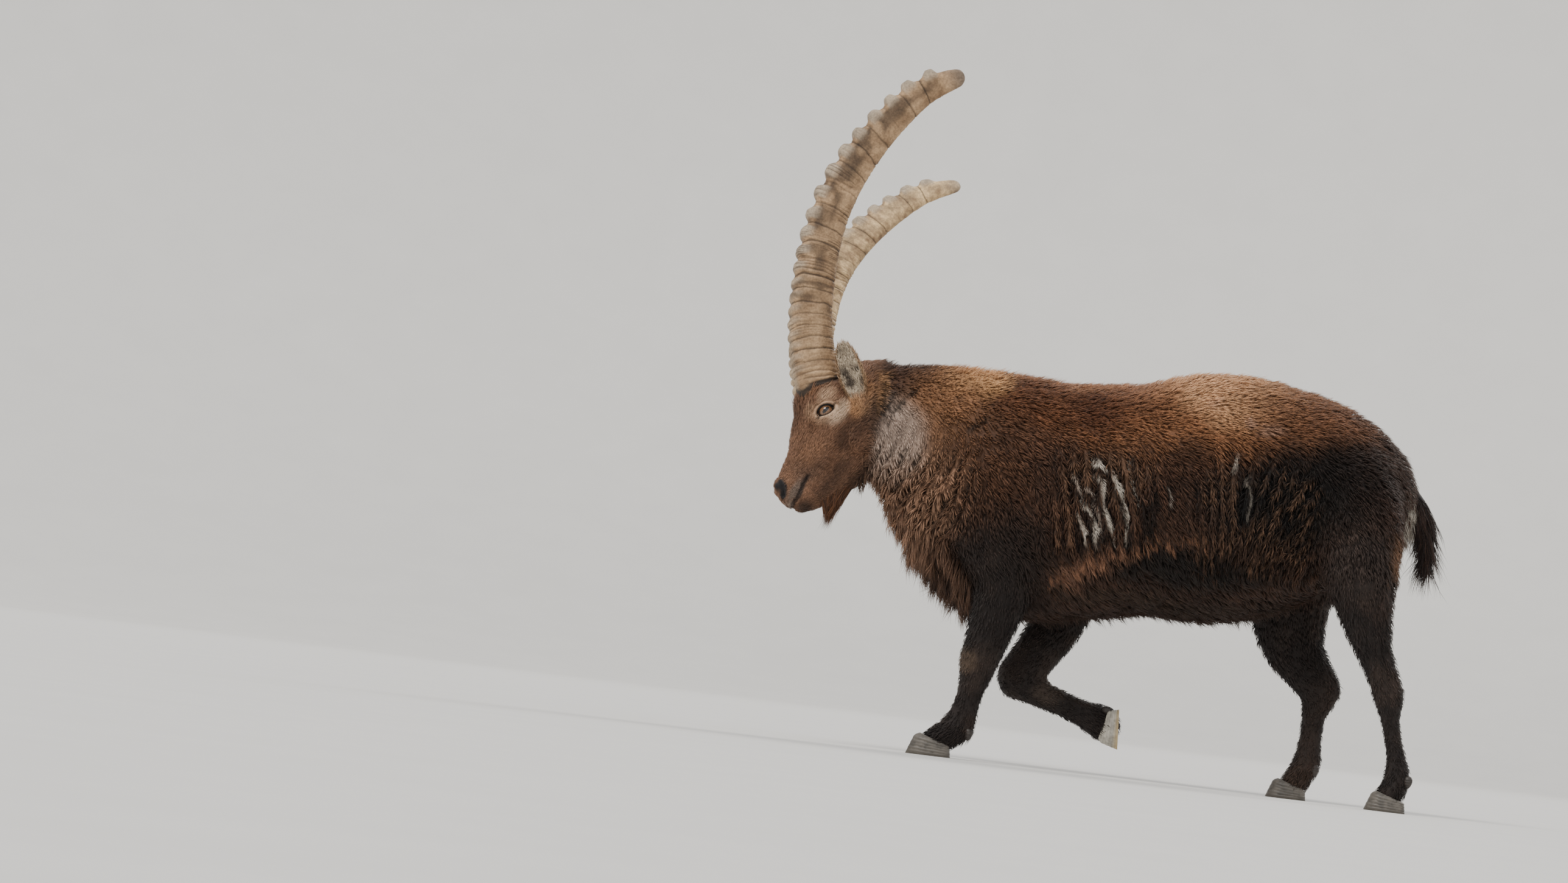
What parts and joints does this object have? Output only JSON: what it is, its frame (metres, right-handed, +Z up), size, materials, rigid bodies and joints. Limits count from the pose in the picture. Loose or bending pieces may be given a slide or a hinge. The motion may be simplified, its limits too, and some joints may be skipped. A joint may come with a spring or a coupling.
{
  "type": "standing ibex",
  "caption": "Still life-size figure of an adult male alpine ibex walking with one foreleg lifted, with long knobbed horns that sweep back.",
  "frame": {"origin": "on the floor below the middle of the whole figure's bounding box", "axes": "+Z up, the animal faces -X, its left side faces -Y"},
  "size_m": [1.3562, 0.6734, 1.382],
  "materials": {
    "coat": "thick dark brown coat, near black on legs and flanks, paler on the back",
    "face": "short warm brown hair",
    "horn": "ridged grey-tan horn",
    "hoof": "worn dark grey horn",
    "eye": "wet amber brown"
  },
  "bodies": {
    "root": {"left_foreleg_upper": "coat", "left_foreleg_lower": "coat", "left_foreleg_outer_claw": "hoof", "left_foreleg_inner_claw": "hoof", "right_foreleg_upper": "coat", "right_foreleg_lower": "coat", "right_foreleg_outer_claw": "hoof", "right_foreleg_inner_claw": "hoof", "left_hindleg_upper": "coat", "left_hindleg_lower": "coat", "left_hindleg_outer_claw": "hoof", "left_hindleg_inner_claw": "hoof", "right_hindleg_upper": "coat", "right_hindleg_lower": "coat", "right_hindleg_outer_claw": "hoof", "right_hindleg_inner_claw": "hoof", "left_eye": "eye", "left_horn": "horn", "left_ear": "face", "right_eye": "eye", "right_horn": "horn", "right_ear": "face", "torso": "coat", "neck": "coat", "head": "face", "tail": "coat"}
  },
  "joints": []
}
